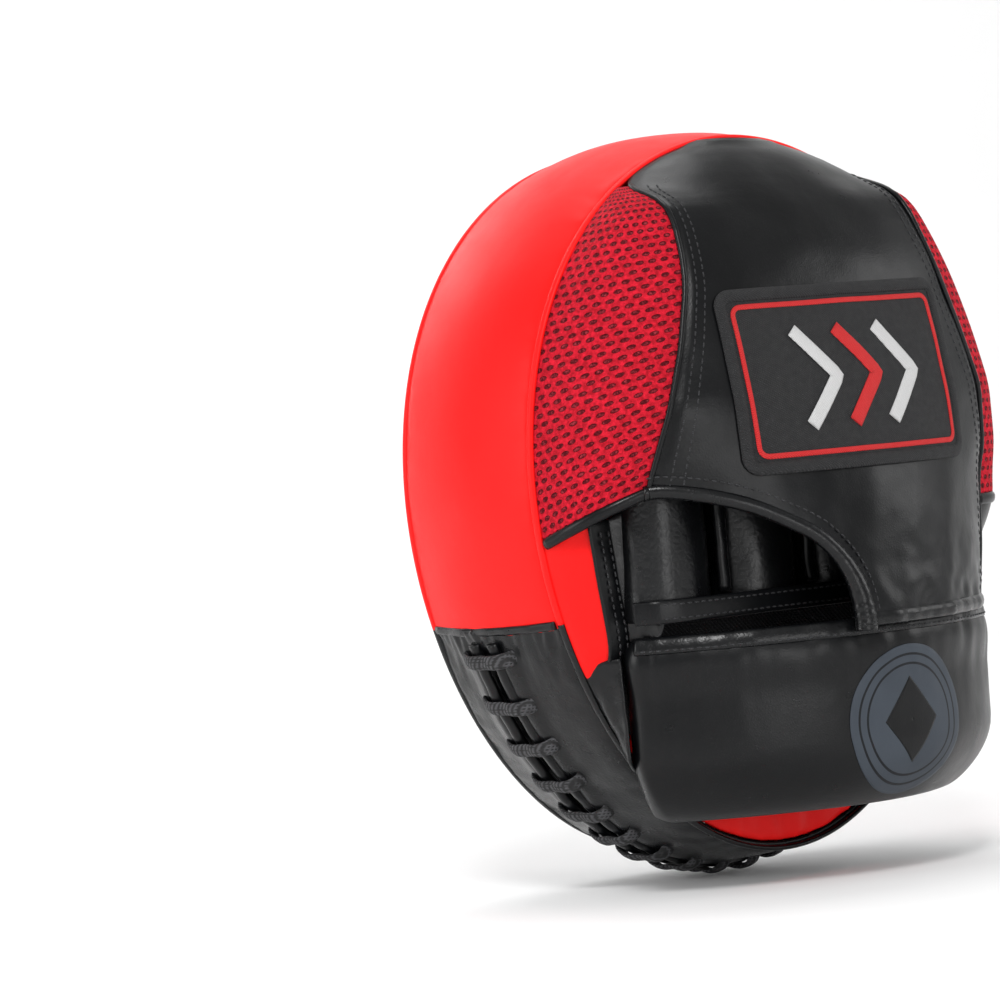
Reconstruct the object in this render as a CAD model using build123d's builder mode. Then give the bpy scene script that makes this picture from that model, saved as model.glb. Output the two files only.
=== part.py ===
"""A right-hand boxing focus mitt (punch pad), worn on the hand.

Frame: +Z towards the fingertips, +Y out of the strike face, +X towards the little finger.
The origin is the palm point: the middle of the red back panel that the palm presses on.
Depths d below are distances from the back panel towards the back of the hand, so y = -d.
"""

import math
import os

from build123d import *

# ---- driving dimensions, in millimetres ----
PAD_H = 244.0  # back seam, top to bottom
PAD_W = 194.0  # back seam, side to side
EGG = 0.074  # how much wider the upper half is than the lower
PAD_T = 68.0  # between the two seams of the side band
BULGE = 4.0  # how far the side band stands out between its seams
LEATHER = 1.8
BAND_SPLIT_Z = -37.0  # red leather above, black leather below
WELT = 2.0  # rolled seams round the pad
RIM_GAP = 0.4  # the strike face sinks inside the band's edge
DOME_H = 16.0  # crown of the strike face above its seam
DOME_REACH = 66.0  # from the rim in to where the face is flat

HOOD_LEATHER = 2.4
MESH_FOAM = 6.0
SEAM_Z_LOW = -9.0  # lower edge of the mesh sides

STALL_HALF_W = 16.6  # finger stalls are flattened tubes
STALL_HALF_D = 13.5
STALL_WALL = 1.4
STALL_PITCH = 38.0
STALL_D = 15.5  # depth of the stalls' centre lines
STALL_MOUTH_Z = -38.0
STALL_TOPS = {"index": 52.0, "middle": 66.0, "ring": 62.0, "little": 42.0}
STALL_FIRST_X = -57.0

CUFF_TOP_Z = -45.5
CUFF_BOTTOM_Z = -106.0
CUFF_LEATHER = 1.6
CUFF_END_D = 12.0  # depth of the cuff's two ends

LACE_R = 1.7
LACE_BARS = 18
LACE_Y = 38.0  # middle of the slit
LACE_HALF = 13.0  # from the slit to a row of holes
LACE_FIRST = 22.0  # degrees below the widest point, from the thumb side round
LACE_LAST = 158.0
SLIT_TOP_Z = -42.0
LIP_H = 2.2

PARTS = "parts"


def save(part, name):
    """Labels one finished piece and writes it as its own STEP file."""
    part.label = name
    export_step(part, f"{PARTS}/{name}.step")


def largest(part):
    """The biggest solid of a part, without slivers left by a cut."""
    return Part(part.solids().sort_by(SortBy.VOLUME)[-1].wrapped)


# ---- the pad's egg outline ----
def egg_point(angle, grow=0.0):
    """A point (x, z) of the outline; angle is in degrees from the little-finger side."""
    t = math.radians(angle)
    half_w = PAD_W / 2 + grow
    half_h = PAD_H / 2 + grow
    return half_w * math.cos(t) * (1 + EGG * math.sin(t)), half_h * math.sin(t)


def egg_loft(sections):
    """A solid lofted through egg outlines, given as (y, grow) pairs."""
    with BuildPart() as body:
        for y, grow in sections:
            with BuildSketch(Plane.XZ.offset(-y)):
                with BuildLine():
                    Spline(*[egg_point(a, grow) for a in range(0, 360, 20)], periodic=True)
                make_face()
        loft()
    return body.part


def swell(y):
    """How far the side band stands out at depth y."""
    return BULGE * 4 * (y / PAD_T) * (1 - y / PAD_T)


def band_solid(grow):
    """The solid inside the side band, grown outwards by grow."""
    return egg_loft([(PAD_T * s / 4, swell(PAD_T * s / 4) + grow) for s in range(5)])


def dome_sections(side_inset, top_inset):
    """Sections of the strike face: a rolled edge that flattens towards the middle."""
    sections = []
    for a in range(0, 91, 15):
        height = (DOME_H - top_inset) * math.sin(math.radians(a))
        reach = (DOME_REACH - side_inset) * (1 - math.cos(math.radians(a)))
        sections.append((PAD_T + height, -LEATHER - RIM_GAP - side_inset - reach))
    return sections


os.makedirs(PARTS, exist_ok=True)

# ---- side band: red upper leather and laced lower leather ----
band_outer = band_solid(0.0)
band_inner = band_solid(-LEATHER)

with BuildPart() as red_side_band:
    add(band_outer)
    add(band_inner, mode=Mode.SUBTRACT)
    split(bisect_by=Plane.XY.offset(BAND_SPLIT_Z), keep=Keep.TOP)
save(red_side_band.part, "red_side_band")


def lace_angle(i):
    """The outline angle of lace bar i."""
    return 180 + LACE_FIRST + (LACE_LAST - LACE_FIRST) * i / (LACE_BARS - 1)


def lace_plane(i, y):
    """A plane on the band at bar i, facing outwards."""
    x, z = egg_point(lace_angle(i), swell(y))
    ahead = egg_point(lace_angle(i) + 1, swell(y))
    tangent = Vector(ahead[0] - x, 0, ahead[1] - z).normalized()
    outward = Vector(tangent.Z, 0, -tangent.X)
    return Plane(origin=(x, y, z), x_dir=(0, 1, 0), z_dir=outward)


with BuildPart() as lower_side_band:
    add(band_outer)
    add(band_inner, mode=Mode.SUBTRACT)
    split(bisect_by=Plane.XY.offset(BAND_SPLIT_Z - 0.05), keep=Keep.BOTTOM)
    with Locations((0, LACE_Y, SLIT_TOP_Z - 50)):
        Box(220, 5, 100, mode=Mode.SUBTRACT)
    for i in range(LACE_BARS):
        for y in (LACE_Y - LACE_HALF, LACE_Y + LACE_HALF):
            with BuildSketch(lace_plane(i, y).offset(-6)):
                Circle(LACE_R + 0.8)
            extrude(amount=12, mode=Mode.SUBTRACT)
save(lower_side_band.part, "lower_side_band")


def lip(y_near, y_far):
    """A rolled leather edge beside the lacing slit."""
    with BuildPart() as rolled:
        add(band_solid(LIP_H))
        add(band_outer, mode=Mode.SUBTRACT)
        with Locations((0, (y_near + y_far) / 2, SLIT_TOP_Z - 50)):
            Box(220, y_far - y_near, 100, mode=Mode.INTERSECT)
    return rolled.part


save(lip(LACE_Y - 8.5, LACE_Y - 2.6), "lace_lip_hand_side")
save(lip(LACE_Y + 2.6, LACE_Y + 8.5), "lace_lip_strike_side")

with BuildPart() as lace_tongue:
    add(band_solid(-7.0))
    add(band_solid(-8.2), mode=Mode.SUBTRACT)
    with Locations((0, LACE_Y, SLIT_TOP_Z - 47)):
        Box(220, 34, 100, mode=Mode.INTERSECT)
save(lace_tongue.part, "lace_tongue")


def lace_route():
    """Corners of the one lace: out of a hole, across the slit, in, and along inside to the next."""
    under = -LEATHER - LACE_R - 0.9
    over = LIP_H + LACE_R + 1.0
    corners = []
    for i in range(LACE_BARS):
        near, far = LACE_Y - LACE_HALF, LACE_Y + LACE_HALF
        first, last = (near, far) if i % 2 == 0 else (far, near)
        out_of, into = lace_plane(i, first), lace_plane(i, last)
        corners += [out_of.from_local_coords((0, 0, h)) for h in (under, over)]
        corners += [into.from_local_coords((0, 0, h)) for h in (over, under)]
    return corners


with BuildPart() as side_lace:
    with BuildLine() as route:
        FilletPolyline(*lace_route(), radius=2.4)
    with BuildSketch(Plane(origin=route.line @ 0, z_dir=route.line % 0)):
        Circle(LACE_R)
    sweep()
save(side_lace.part, "side_lace")

# ---- rolled seams round the pad ----
def welt(y_low, y_high):
    """A flat ring of leather that covers the joint at one edge of the side band."""
    with BuildPart() as ring:
        add(egg_loft([(y_low, WELT), (y_high, WELT)]))
        add(egg_loft([(y_low - 1, 0.1), (y_high + 1, 0.1)]), mode=Mode.SUBTRACT)
    return ring.part


save(welt(PAD_T + 0.05, PAD_T + WELT), "front_seam_welt")
save(welt(-WELT, -0.05), "back_seam_welt")

# ---- pad core ----
with BuildPart() as back_panel:
    add(egg_loft([(0.0, -LEATHER - 0.1), (LEATHER, -LEATHER - 0.1)]))
save(back_panel.part, "back_panel")

with BuildPart() as palm_board:
    add(egg_loft([(LEATHER + 0.1, -8.5), (LEATHER + 3.1, -8.5)]))
save(palm_board.part, "palm_board")

FOAM_SPLIT_Y = 34.0
FOAM_INSET = 9.5
with BuildPart() as cushion_foam:
    add(egg_loft([(LEATHER + 3.2, -FOAM_INSET), (FOAM_SPLIT_Y, -FOAM_INSET)]))
save(cushion_foam.part, "cushion_foam")

with BuildPart() as impact_foam:
    add(egg_loft([(FOAM_SPLIT_Y + 0.1, -FOAM_INSET), (PAD_T, -FOAM_INSET)]))
    add(egg_loft(dome_sections(FOAM_INSET - LEATHER, LEATHER + 0.6)))
save(impact_foam.part, "impact_foam")

with BuildPart() as strike_panel:
    add(egg_loft(dome_sections(0.0, 0.0)))
    add(egg_loft(dome_sections(LEATHER, LEATHER)), mode=Mode.SUBTRACT)
save(largest(strike_panel.part), "strike_panel")

EMBLEM_R = 24.0
with BuildPart() as strike_emblem:
    add(egg_loft(dome_sections(-0.5, -0.5)))
    add(egg_loft(dome_sections(-0.05, -0.05)), mode=Mode.SUBTRACT)
    with BuildSketch(Plane.XZ.offset(-PAD_T - 9)):
        Circle(EMBLEM_R)
    extrude(amount=-20, mode=Mode.INTERSECT)
save(strike_emblem.part, "strike_emblem")

# ---- hood over the fingers: D-shaped sections, each (z, base, seam x, seam d, middle d) ----
HOOD = [
    (119.0, 21.0, 13.0, 4.5, 6.5),
    (113.0, 38.0, 30.0, 9.0, 16.5),
    (104.0, 53.0, 48.5, 20.0, 26.5),
    (92.0, 66.0, 52.0, 31.0, 36.0),
    (75.0, 79.0, 54.6, 37.5, 44.3),
    (50.0, 90.5, 62.0, 41.0, 51.2),
    (25.0, 95.5, 70.4, 40.0, 56.5),
    (0.0, 95.5, 74.5, 31.0, 60.8),
    (-12.0, 94.3, 73.8, 30.5, 62.3),
    (-24.0, 92.2, 72.5, 31.0, 63.6),
    (-42.0, 87.5, 70.0, 30.5, 64.8),
]


def hood_loft(inset, bottom_drop=0.0):
    """The solid under the hood's outer face, taken in by inset."""
    with BuildPart() as dome:
        for z, base, seam_x, seam_d, mid_d in HOOD:
            if z > 110 and inset > 0 and mid_d - inset < 4:
                continue
            height = z - (bottom_drop if z == HOOD[-1][0] else 0.0)
            bulge_x = (base + seam_x) / 2 + 3 - 0.7 * inset
            bulge_d = seam_d / 2 + 2 - 0.7 * inset
            mid_x = seam_x / 2
            mid_side_d = seam_d + 0.78 * (mid_d - seam_d) - inset
            side = [
                (base - inset, 0.0),
                (bulge_x, bulge_d),
                (seam_x - 0.75 * inset, seam_d - 0.75 * inset),
                (mid_x, mid_side_d),
            ]
            points = [(-x, -d) for x, d in side] + [(0.0, inset - mid_d)]
            points += [(x, -d) for x, d in reversed(side)]
            with BuildSketch(Plane.XY.offset(height)):
                with BuildLine():
                    arch = Spline(*points)
                    Line(arch @ 1, arch @ 0)
                make_face()
        loft()
    return dome.part


def seam_region(side_shift, z_low=-60.0):
    """A block between the two long seams of the hood's middle panel, along Y."""
    seam = [(x + side_shift, z) for z, _, x, _, _ in HOOD[2:]]
    top_x = seam[0][0]
    with BuildPart() as block:
        with BuildSketch(Plane.XZ.offset(0.0)):
            with BuildLine():
                right = Spline(*seam)
                left = Spline(*[(-x, z) for x, z in seam])
                Polyline(right @ 0, (top_x - 1, 130), (1 - top_x, 130), left @ 0)
                Polyline(right @ 1, (seam[-1][0], z_low), (-seam[-1][0], z_low), left @ 1)
            make_face()
        extrude(amount=90)
    return block.part


def window_cutter(grow=0.0):
    """The thumb window's outline as a block along Y: an arch open to the lower left."""
    with BuildPart() as block:
        with BuildSketch(Plane.XZ):
            with BuildLine():
                edge = Spline(
                    (-99.0, -11.0 + grow),
                    (-72.0, 4.2 + grow),
                    (-46.0, -3.2 + grow),
                    (-26.0 + 0.6 * grow, -15.0 + 0.8 * grow),
                    (-13.5 + grow, -33.0),
                    (-18.0 + grow, -50.0),
                )
                Polyline(edge @ 1, (-99.0, -50.0), edge @ 0)
            make_face()
        extrude(amount=90)
    return block.part


hood_outer = hood_loft(0.0)
hood_under = hood_loft(HOOD_LEATHER, bottom_drop=5.0)
middle_block = seam_region(0.0)

with BuildPart() as hood_shell:
    add(hood_outer)
    add(hood_under, mode=Mode.SUBTRACT)

with BuildPart() as hood_panel:
    add(hood_shell.part)
    add(middle_block, mode=Mode.INTERSECT)
    add(window_cutter(), mode=Mode.SUBTRACT)
save(hood_panel.part, "hood_panel")


def hood_side(side, z_low, z_high):
    """The part of the hood's shell outside the long seam, on one side, between two heights."""
    with BuildPart() as flank:
        add(hood_shell.part)
        add(middle_block, mode=Mode.SUBTRACT)
        with Locations((side * 60, -45, (z_low + z_high) / 2)):
            Box(118, 100, z_high - z_low, mode=Mode.INTERSECT)
    return flank.part


MESH_TOP_Z = 106.0
save(hood_side(-1, SEAM_Z_LOW, MESH_TOP_Z), "mesh_side_thumb")
save(hood_side(1, SEAM_Z_LOW, MESH_TOP_Z), "mesh_side_little")
save(hood_side(1, -42.0, SEAM_Z_LOW - 0.1), "side_wall_little")

with BuildPart() as side_wall_thumb:
    add(hood_shell.part)
    with Locations((-85, -7.7, -26)):
        Box(40, 14.6, 31.8, mode=Mode.INTERSECT)
save(side_wall_thumb.part, "side_wall_thumb")

PADDING_FROM = HOOD_LEATHER + 0.1
PADDING_TO = HOOD_LEATHER + MESH_FOAM
with BuildPart() as hood_padding:
    add(hood_loft(PADDING_FROM))
    add(hood_loft(PADDING_TO, bottom_drop=5.0), mode=Mode.SUBTRACT)
    add(seam_region(-14.0), mode=Mode.INTERSECT)
    with Locations((0, -50, 50)):
        Box(200, 80, 90, mode=Mode.INTERSECT)
save(hood_padding.part, "hood_padding")

with BuildPart() as hood_lining:
    add(hood_loft(PADDING_TO + 0.1))
    add(hood_loft(PADDING_TO + 1.1, bottom_drop=5.0), mode=Mode.SUBTRACT)
    add(seam_region(-14.0), mode=Mode.INTERSECT)
    with Locations((0, -50, 50)):
        Box(200, 80, 90, mode=Mode.INTERSECT)
save(hood_lining.part, "hood_lining")

# ---- badge sewn on the hood ----
BADGE_W = 96.0
BADGE_H = 62.0
BADGE_Z = 37.0
BADGE_BORDER = 4.5


def on_hood(low, high, width, height, corner):
    """A rounded rectangle of cloth lying on the hood, from low to high above its face."""
    with BuildPart() as cloth:
        add(hood_loft(-high))
        add(hood_loft(-low), mode=Mode.SUBTRACT)
        with BuildSketch(Plane.XZ):
            with Locations((0, BADGE_Z)):
                RectangleRounded(width, height, corner)
        extrude(amount=90, mode=Mode.INTERSECT)
    return cloth.part


badge_blank = on_hood(0.05, 1.3, BADGE_W, BADGE_H, 6)
with BuildPart() as badge_border:
    add(badge_blank)
    with BuildSketch(Plane.XZ):
        with Locations((0, BADGE_Z)):
            RectangleRounded(BADGE_W - 2 * BADGE_BORDER, BADGE_H - 2 * BADGE_BORDER, 4)
    extrude(amount=90, mode=Mode.SUBTRACT)
save(badge_border.part, "badge_border")

badge_inside = (BADGE_W - 2 * BADGE_BORDER - 0.1, BADGE_H - 2 * BADGE_BORDER - 0.1)
save(on_hood(0.05, 0.9, *badge_inside, 4), "badge_cloth")

# ---- window edge: a rolled binding ----
with BuildPart() as window_binding:
    add(hood_loft(-1.2))
    add(hood_loft(HOOD_LEATHER + 1.2, bottom_drop=5.0), mode=Mode.SUBTRACT)
    add(window_cutter(-0.1), mode=Mode.INTERSECT)
    add(window_cutter(-4.6), mode=Mode.SUBTRACT)
    with Locations((-33, -50, -20)):
        Box(80, 60, 44, mode=Mode.INTERSECT)
save(window_binding.part, "window_binding")

# ---- finger stalls and the parts around them ----
with BuildPart() as palm_lining:
    with BuildSketch(Plane.XZ):
        with Locations((-4.5, 21)):
            RectangleRounded(127, 118, 22)
    extrude(amount=1.2)
save(palm_lining.part, "palm_lining")


def stall_body(centre, top_z, wall):
    """A flattened tube with a rounded top, taken in by wall."""
    with BuildPart() as tube:
        with BuildSketch(Plane.XY.offset(STALL_MOUTH_Z)):
            with Locations(centre):
                Ellipse(STALL_HALF_W - wall, STALL_HALF_D - wall)
        extrude(amount=top_z - wall - STALL_MOUTH_Z)
        fillet(tube.edges().sort_by(Axis.Z)[-1], 9 - wall)
    return tube.part


for order, (finger, top_z) in enumerate(STALL_TOPS.items()):
    centre = (STALL_FIRST_X + STALL_PITCH * order, -STALL_D)
    with BuildPart() as stall:
        add(stall_body(centre, top_z, 0.0))
        add(stall_body(centre, top_z, STALL_WALL), mode=Mode.SUBTRACT)
    save(stall.part, f"finger_stall_{finger}")

STRAP_HALF = [(74.0, -20.0), (67.5, -27.0), (50.0, -30.4), (0.0, -30.8)]
STRAP_LINE = [(-x, y) for x, y in STRAP_HALF[:-1]] + STRAP_HALF[::-1]
STRAP_T = 1.5
STRAP_Z = -39.5
STRAP_H = 8.0
with BuildPart() as mouth_strap:
    with BuildSketch(Plane.XY.offset(STRAP_Z)):
        with BuildLine():
            inner = Spline(*STRAP_LINE)
            outer = Spline(*[(x * 1.01, y - STRAP_T) for x, y in STRAP_LINE])
            Line(inner @ 0, outer @ 0)
            Line(inner @ 1, outer @ 1)
        make_face()
    extrude(amount=STRAP_H)
save(mouth_strap.part, "mouth_strap")

# ---- wrist cuff: a padded arch over the back of the wrist, free at its lower edge ----
CUFF_LINE = [(76.0, CUFF_END_D), (72.0, 32.0), (44.0, 50.5), (0.0, 60.0)]
CUFF_SECTIONS = [  # z, how far the outer face is taken in, thickness
    (CUFF_TOP_Z, 3.0, 6.0),
    (CUFF_TOP_Z - 8, 0.0, 11.5),
    (CUFF_TOP_Z - 30, 0.0, 14.5),
    (CUFF_BOTTOM_Z + 10, 5.0, 12.5),
    (CUFF_BOTTOM_Z, 12.5, 6.0),
]


def cuff_edge(inset):
    """Points along the cuff's arch, thumb side to little-finger side, taken in by inset."""
    right = [(x - 0.75 * inset, -(d - inset * (1 - x / 130))) for x, d in CUFF_LINE]
    left = [(-x, y) for x, y in right[:-1]]
    return left + list(reversed(right))


def cuff_loft(take_in):
    """The cuff's cushion, taken in all round by take_in."""
    ends = {0: -take_in, len(CUFF_SECTIONS) - 1: take_in}
    with BuildPart() as cushion:
        for order, (z, inset, thick) in enumerate(CUFF_SECTIONS):
            outer_points = cuff_edge(inset + take_in)
            inner_points = cuff_edge(inset + thick - take_in)
            trim = 1.2 * take_in
            outer_points[0] = (outer_points[0][0], outer_points[0][1] - trim)
            outer_points[-1] = (outer_points[-1][0], outer_points[-1][1] - trim)
            inner_points[0] = (inner_points[0][0], inner_points[0][1] - trim)
            inner_points[-1] = (inner_points[-1][0], inner_points[-1][1] - trim)
            with BuildSketch(Plane.XY.offset(z + ends.get(order, 0.0))):
                with BuildLine():
                    face = Spline(*outer_points)
                    back = Spline(*inner_points)
                    Line(face @ 0, back @ 0)
                    Line(face @ 1, back @ 1)
                make_face()
        loft()
    return cushion.part


cuff_outer = cuff_loft(0.0)
cuff_fill = cuff_loft(CUFF_LEATHER)


def cuff_inward_block():
    """Everything on the hand's side of the cuff's middle surface."""
    with BuildPart() as block:
        with BuildSketch(Plane.XY.offset(-130)):
            with BuildLine():
                edge = Spline(*cuff_edge(8.5))
                Polyline(edge @ 0, (-40, 20), (40, 20), edge @ 1)
            make_face()
        extrude(amount=100)
    return block.part


inward = cuff_inward_block()
with BuildPart() as cuff_cover:
    add(cuff_outer)
    add(cuff_fill, mode=Mode.SUBTRACT)
    add(inward, mode=Mode.SUBTRACT)
save(cuff_cover.part, "cuff_cover")

with BuildPart() as cuff_lining:
    add(cuff_outer)
    add(cuff_fill, mode=Mode.SUBTRACT)
    add(inward, mode=Mode.INTERSECT)
save(cuff_lining.part, "cuff_lining")

with BuildPart() as cuff_foam:
    add(cuff_loft(CUFF_LEATHER + 0.15))
save(cuff_foam.part, "cuff_foam")

ROUNDEL_R = 25.0
ROUNDEL_X = 8.0
ROUNDEL_Z = -76.5
with BuildPart() as cuff_roundel:
    add(cuff_loft(-0.5))
    add(cuff_loft(-0.05), mode=Mode.SUBTRACT)
    with BuildSketch(Plane.XZ.offset(49)):
        with Locations((ROUNDEL_X, ROUNDEL_Z)):
            Circle(ROUNDEL_R)
    extrude(amount=60, mode=Mode.INTERSECT)
save(largest(cuff_roundel.part), "cuff_roundel")

# ---- leather gussets between the pad and the cuff's two ends ----
GUSSET_T = 1.2
GUSSET_LEVELS = [(-56.0, 0.6), (-75.0, 0.0), (-96.0, 4.5)]  # z, how far the cuff's end is taken in


def gusset(side):
    """A thin sheet from the pad's back seam out to the cuff's end."""
    with BuildPart() as sheet:
        for z, inset in GUSSET_LEVELS:
            seam_x = egg_point(math.degrees(math.asin(z / (PAD_H / 2))))[0] - 2.2
            end_x = CUFF_LINE[0][0] - 0.75 * inset - 1.0
            end_d = CUFF_END_D - inset - 2.6
            corners = [(seam_x, -2.4), (end_x, -end_d), (end_x - GUSSET_T, -end_d)]
            corners.append((seam_x - GUSSET_T, -2.4))
            with BuildSketch(Plane.XY.offset(z)):
                Polygon(*[(side * x, y) for x, y in corners], align=None)
        loft(ruled=True)
    return sheet.part


save(gusset(-1), "cuff_gusset_thumb")
save(gusset(1), "cuff_gusset_little")
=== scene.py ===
"""Looks of the focus mitt: every visible leather, mesh and cloth piece, built round the CAD frame."""

import math

import bmesh
import bpy
import numpy as np
from mathutils import Matrix, Vector, noise


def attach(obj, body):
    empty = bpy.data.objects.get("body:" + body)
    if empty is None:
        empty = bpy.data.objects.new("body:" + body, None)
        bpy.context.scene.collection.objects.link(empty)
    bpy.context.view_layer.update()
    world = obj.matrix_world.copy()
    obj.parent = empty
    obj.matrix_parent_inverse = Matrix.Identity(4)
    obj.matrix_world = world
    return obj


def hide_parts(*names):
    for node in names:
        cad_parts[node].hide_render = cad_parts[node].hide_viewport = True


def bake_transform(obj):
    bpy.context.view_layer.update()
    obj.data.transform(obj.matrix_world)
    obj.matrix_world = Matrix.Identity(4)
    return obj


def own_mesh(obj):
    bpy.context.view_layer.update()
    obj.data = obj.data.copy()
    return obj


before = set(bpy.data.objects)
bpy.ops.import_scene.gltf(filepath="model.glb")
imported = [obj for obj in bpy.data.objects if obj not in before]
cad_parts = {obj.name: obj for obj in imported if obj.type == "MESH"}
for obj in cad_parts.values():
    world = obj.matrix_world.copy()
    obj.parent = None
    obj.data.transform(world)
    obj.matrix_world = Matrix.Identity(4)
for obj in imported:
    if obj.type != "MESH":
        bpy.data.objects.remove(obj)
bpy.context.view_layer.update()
MM = 0.001

# ---- the pad's outline and side band, in millimetres as in the CAD model ----
PAD_H, PAD_W, EGG, PAD_T, BULGE = 244.0, 194.0, 0.074, 68.0, 4.0
BAND_SPLIT_Z = -37.0
LACE_BARS, LACE_Y, LACE_HALF, LACE_FIRST, LACE_LAST = 18, 38.0, 13.0, 22.0, 158.0
DOME_H, DOME_REACH, RIM = 16.0, 66.0, 2.2
WRIST_TOP, WRIST_BOTTOM = -44.5, -106.5


def egg(angle, grow=0.0):
    """A point (x, z) of the pad's outline; angle in degrees from the little-finger side."""
    t = math.radians(angle)
    x = (PAD_W / 2 + grow) * math.cos(t) * (1 + EGG * math.sin(t))
    return x, (PAD_H / 2 + grow) * math.sin(t)


def egg_half_width(z):
    """Half the outline's width at height z."""
    return egg(math.degrees(math.asin(max(-1.0, min(1.0, z / (PAD_H / 2))))))[0]


def swell(y):
    """How far the side band stands out at depth y."""
    return BULGE * 4 * (y / PAD_T) * (1 - y / PAD_T)


def ripple(p, scale, seed=0.0):
    """Smooth noise from -1 to 1 at a point in millimetres; scale is the size of a ripple."""
    return noise.noise(Vector((p[0] / scale + seed, p[1] / scale - seed, p[2] / scale + 2 * seed)))


def smooth(a, b, v):
    """0 below a, 1 above b, smooth between."""
    t = max(0.0, min(1.0, (v - a) / (b - a)))
    return t * t * (3 - 2 * t)


def curve_through(points, count):
    """Points evenly spaced by parameter on a Catmull-Rom curve through the given ones."""
    p = np.array(points, float)
    p = np.vstack([2 * p[0] - p[1], p, 2 * p[-1] - p[-2]])
    result = []
    for s in np.linspace(0, len(p) - 3 - 1e-9, count):
        i, t = int(s), s - int(s)
        a, b, c, d = p[i], p[i + 1], p[i + 2], p[i + 3]
        square, cube = 2 * a - 5 * b + 4 * c - d, 3 * b - a - 3 * c + d
        result.append(0.5 * (2 * b + (c - a) * t + square * t**2 + cube * t**3))
    return np.array(result)


# ---- mesh helpers ----
def mesh_object(name, verts, faces, material, body, nodes=(), uvs=None):
    """A smooth-shaded piece in metres, from points in millimetres, riding on a body."""
    mesh = bpy.data.meshes.new(name)
    mesh.from_pydata([tuple(float(c) * MM for c in v) for v in verts], [], faces)
    if uvs is not None:
        layer = mesh.uv_layers.new(name="metric")
        for loop in mesh.loops:
            layer.data[loop.index].uv = uvs[loop.vertex_index]
    bm = bmesh.new()
    bm.from_mesh(mesh)
    bmesh.ops.remove_doubles(bm, verts=bm.verts, dist=1e-6)
    bmesh.ops.dissolve_degenerate(bm, edges=bm.edges, dist=1e-7)
    bmesh.ops.recalc_face_normals(bm, faces=bm.faces)
    bm.to_mesh(mesh)
    bm.free()
    mesh.polygons.foreach_set("use_smooth", [True] * len(mesh.polygons))
    mesh.materials.append(material)
    piece = bpy.data.objects.new(name, mesh)
    bpy.context.scene.collection.objects.link(piece)
    if body:
        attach(piece, body)
    if nodes:
        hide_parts(*nodes)
    return piece


def grid_normals(grid, around=False):
    """Unit normals of a grid of points; around joins the first index in a ring."""
    if around:
        du = np.roll(grid, -1, 0) - np.roll(grid, 1, 0)
    else:
        du = np.gradient(grid, axis=0)
    normal = np.cross(du, np.gradient(grid, axis=1))
    length = np.linalg.norm(normal, axis=2, keepdims=True)
    return normal / np.maximum(length, 1e-9)


def metric_uv(grid):
    """Distances in millimetres along both directions of a grid."""
    mid = grid.shape[0] // 2
    step_u = np.linalg.norm(np.diff(grid[:, grid.shape[1] // 2], axis=0), axis=1)
    step_v = np.linalg.norm(np.diff(grid[mid], axis=0), axis=1)
    u = np.concatenate([[0], np.cumsum(step_u)])
    v = np.concatenate([[0], np.cumsum(step_v)])
    return [(float(a), float(b)) for a in u for b in v]


def thick_sheet(name, grid, thickness, inside, material, body, nodes=(), around=False, roll=0.5):
    """A sheet of leather or cloth with a rounded rim. inside is a point on its inner side."""
    grid = np.array(grid, float)
    normal = grid_normals(grid, around)
    middle = (grid.shape[0] // 3, grid.shape[1] // 2)
    if np.dot(normal[middle], grid[middle] - np.array(inside, float)) < 0:
        normal = -normal
    nu, nv = grid.shape[:2]
    inner = grid - normal * thickness
    verts = list(grid.reshape(-1, 3)) + list(inner.reshape(-1, 3))
    uvs = metric_uv(grid) * 2
    faces = []
    for i in range(nu if around else nu - 1):
        k = (i + 1) % nu
        for j in range(nv - 1):
            a, b, c, d = i * nv + j, k * nv + j, k * nv + j + 1, i * nv + j + 1
            faces.append((a, b, c, d))
            faces.append(tuple(v + nu * nv for v in (d, c, b, a)))
    if around:
        loops = [[(i, 0) for i in range(nu)], [(i, nv - 1) for i in range(nu)]]
    else:
        ring = [(i, 0) for i in range(nu)] + [(nu - 1, j) for j in range(1, nv)]
        ring += [(i, nv - 1) for i in range(nu - 2, -1, -1)] + [(0, j) for j in range(nv - 2, 0, -1)]
        loops = [ring]
    for ring in loops:
        base = len(verts)
        for i, j in ring:
            ii = i if around else min(max(i, 1), nu - 2)
            jj = min(max(j, 1), nv - 2)
            out = grid[i, j] - grid[ii, jj]
            size = np.linalg.norm(out)
            out = out / size if size > 1e-6 else out
            verts.append(grid[i, j] - normal[i, j] * thickness / 2 + out * thickness * roll)
            uvs.append(uvs[i * nv + j])
        for k in range(len(ring)):
            n = (k + 1) % len(ring)
            a, b = (r[0] * nv + r[1] for r in (ring[k], ring[n]))
            faces.append((a, b, base + n, base + k))
            faces.append((base + k, base + n, b + nu * nv, a + nu * nv))
    return mesh_object(name, verts, faces, material, body, nodes, uvs)


def ring_solid(name, grid, material, body, nodes=(), closed=True):
    """A tube-like solid: grid[i] is a closed cross-section; closed joins the last to the first."""
    grid = np.array(grid, float)
    nu, nv = grid.shape[:2]
    faces = []
    for i in range(nu if closed else nu - 1):
        k = (i + 1) % nu
        for j in range(nv):
            n = (j + 1) % nv
            faces.append((i * nv + j, k * nv + j, k * nv + n, i * nv + n))
    if not closed:
        faces.append(tuple(range(nv)))
        faces.append(tuple((nu - 1) * nv + j for j in reversed(range(nv))))
    return mesh_object(name, grid.reshape(-1, 3), faces, material, body, nodes, metric_uv(grid))


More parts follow.
